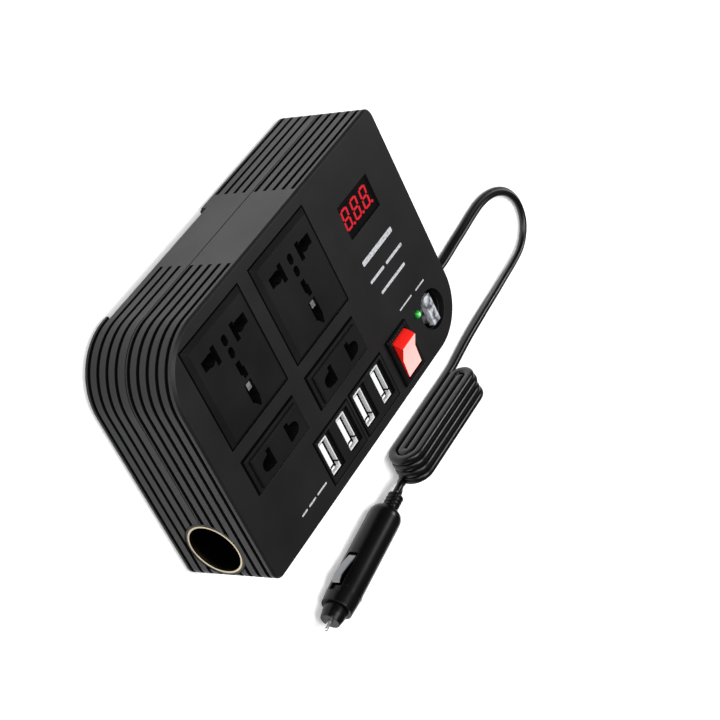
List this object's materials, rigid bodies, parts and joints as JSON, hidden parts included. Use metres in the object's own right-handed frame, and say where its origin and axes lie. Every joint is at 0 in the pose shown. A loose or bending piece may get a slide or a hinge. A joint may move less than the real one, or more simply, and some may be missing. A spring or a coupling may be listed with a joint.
{
  "type": "power inverter",
  "caption": "Flat box-shaped car power inverter with mains sockets, charging ports, volt display, rocker switch and a flat lead ending in a lighter plug.",
  "frame": {"origin": "middle of the case's back, on the surface it lies on", "axes": "+Z out of the front panel, +X along the panel's long side to the right as its sockets are read, +Y to the panel's top edge"},
  "size_m": [0.267, 0.1713, 0.0475],
  "materials": {
    "case_abs": "satin moulded ABS, fine grain",
    "back_abs": "satin moulded ABS, fine grain",
    "screw_steel": "zinc plated",
    "socket_plastic": "satin flame-retardant plastic",
    "contact_brass": "stamped brass",
    "earth_contact": "tin plated",
    "usb_steel": "nickel plated steel",
    "usb_tongue": "white nylon",
    "display_window": "smoked clear plastic",
    "display_body": "black plastic",
    "display_red": "lit red segments",
    "led_green": "lit green epoxy",
    "fuse_plastic": "clear polycarbonate",
    "tin_metal": "tin plated",
    "switch_plastic": "semi-gloss nylon",
    "rocker_red": "translucent red",
    "lighter_metal": "plated steel",
    "board_green": "solder mask",
    "ferrite": "ferrite",
    "copper_wire": "enamelled copper",
    "capacitor_sleeve": "plastic sleeve",
    "transistor_black": "moulded epoxy",
    "heat_sink_alu": "extruded",
    "cord_pvc": "soft PVC",
    "plug_black": "gloss black plastic"
  },
  "bodies": {
    "case": {"front_cover": "case_abs", "back_cover": "back_abs", "case_screws": "screw_steel", "socket_left": "socket_plastic", "socket_right": "socket_plastic", "socket_left_live": "contact_brass", "socket_left_neutral": "contact_brass", "socket_left_earth": "earth_contact", "socket_right_live": "contact_brass", "socket_right_neutral": "contact_brass", "socket_right_earth": "earth_contact", "slim_socket_left": "socket_plastic", "slim_socket_right": "socket_plastic", "slim_left_contacts": "contact_brass", "slim_right_contacts": "contact_brass", "usb_frame_left": "socket_plastic", "usb_frame_right": "socket_plastic", "usb_shell_1": "usb_steel", "usb_shell_2": "usb_steel", "usb_shell_3": "usb_steel", "usb_shell_4": "usb_steel", "usb_tongue_1": "usb_tongue", "usb_tongue_2": "usb_tongue", "usb_tongue_3": "usb_tongue", "usb_tongue_4": "usb_tongue", "display_window": "display_window", "display_body": "display_body", "display_segments": "display_red", "power_led": "led_green", "fuse_holder": "socket_plastic", "fuse_clips": "contact_brass", "switch_housing": "switch_plastic", "switch_terminals": "tin_metal", "lighter_shroud": "socket_plastic", "lighter_sleeve": "lighter_metal", "lighter_contact": "tin_metal", "main_board": "board_green", "board_screws": "screw_steel", "transformer_core": "ferrite", "transformer_winding": "copper_wire", "capacitors": "capacitor_sleeve", "power_transistors": "transistor_black", "heat_sink": "heat_sink_alu", "choke": "copper_wire", "cord_gland": "plug_black", "cord_run": "cord_pvc", "cord_hank": "cord_pvc", "cord_plug_end": "cord_pvc", "plug_sleeve": "plug_black", "plug_handle": "plug_black", "plug_collar": "plug_black", "plug_tip_spring": "tin_metal", "plug_fuse": "fuse_plastic"},
    "rocker": {"switch_rocker": "rocker_red"},
    "fuse": {"fuse_body": "fuse_plastic", "fuse_blades": "tin_metal"},
    "plug_tip": {"plug_tip": "tin_metal"},
    "contact_left": {"plug_contact_left": "tin_metal"},
    "contact_right": {"plug_contact_right": "tin_metal"},
    "nose_cap": {"plug_nose": "plug_black"}
  },
  "joints": [
    {"name": "rocker_hinge", "type": "hinge", "parent": "case", "child": "rocker", "pos_m": [0.0336, -0.0351, 0.0407], "axis": [1, 0, 0], "range_deg": [-30, 0]},
    {"name": "fuse_pull", "type": "slide", "parent": "case", "child": "fuse", "axis": [0, 0, 1], "range_m": [0, 0.014]},
    {"name": "nose_unscrew", "type": "hinge", "parent": "case", "child": "nose_cap", "pos_m": [0.0295, -0.1068, 0.0071], "axis": [-0.9925, -0.1219, 0], "continuous": true},
    {"name": "tip_press", "type": "slide", "parent": "case", "child": "plug_tip", "axis": [0.9925, 0.1219, 0], "range_m": [0, 0.003], "stiffness_N_per_m": 300},
    {"name": "contact_left_press", "type": "slide", "parent": "case", "child": "contact_left", "axis": [-0.1219, 0.9925, 0], "range_m": [0, 0.0012], "stiffness_N_per_m": 300},
    {"name": "contact_right_press", "type": "slide", "parent": "case", "child": "contact_right", "axis": [0.1219, -0.9925, 0], "range_m": [0, 0.0012], "stiffness_N_per_m": 300}
  ]
}
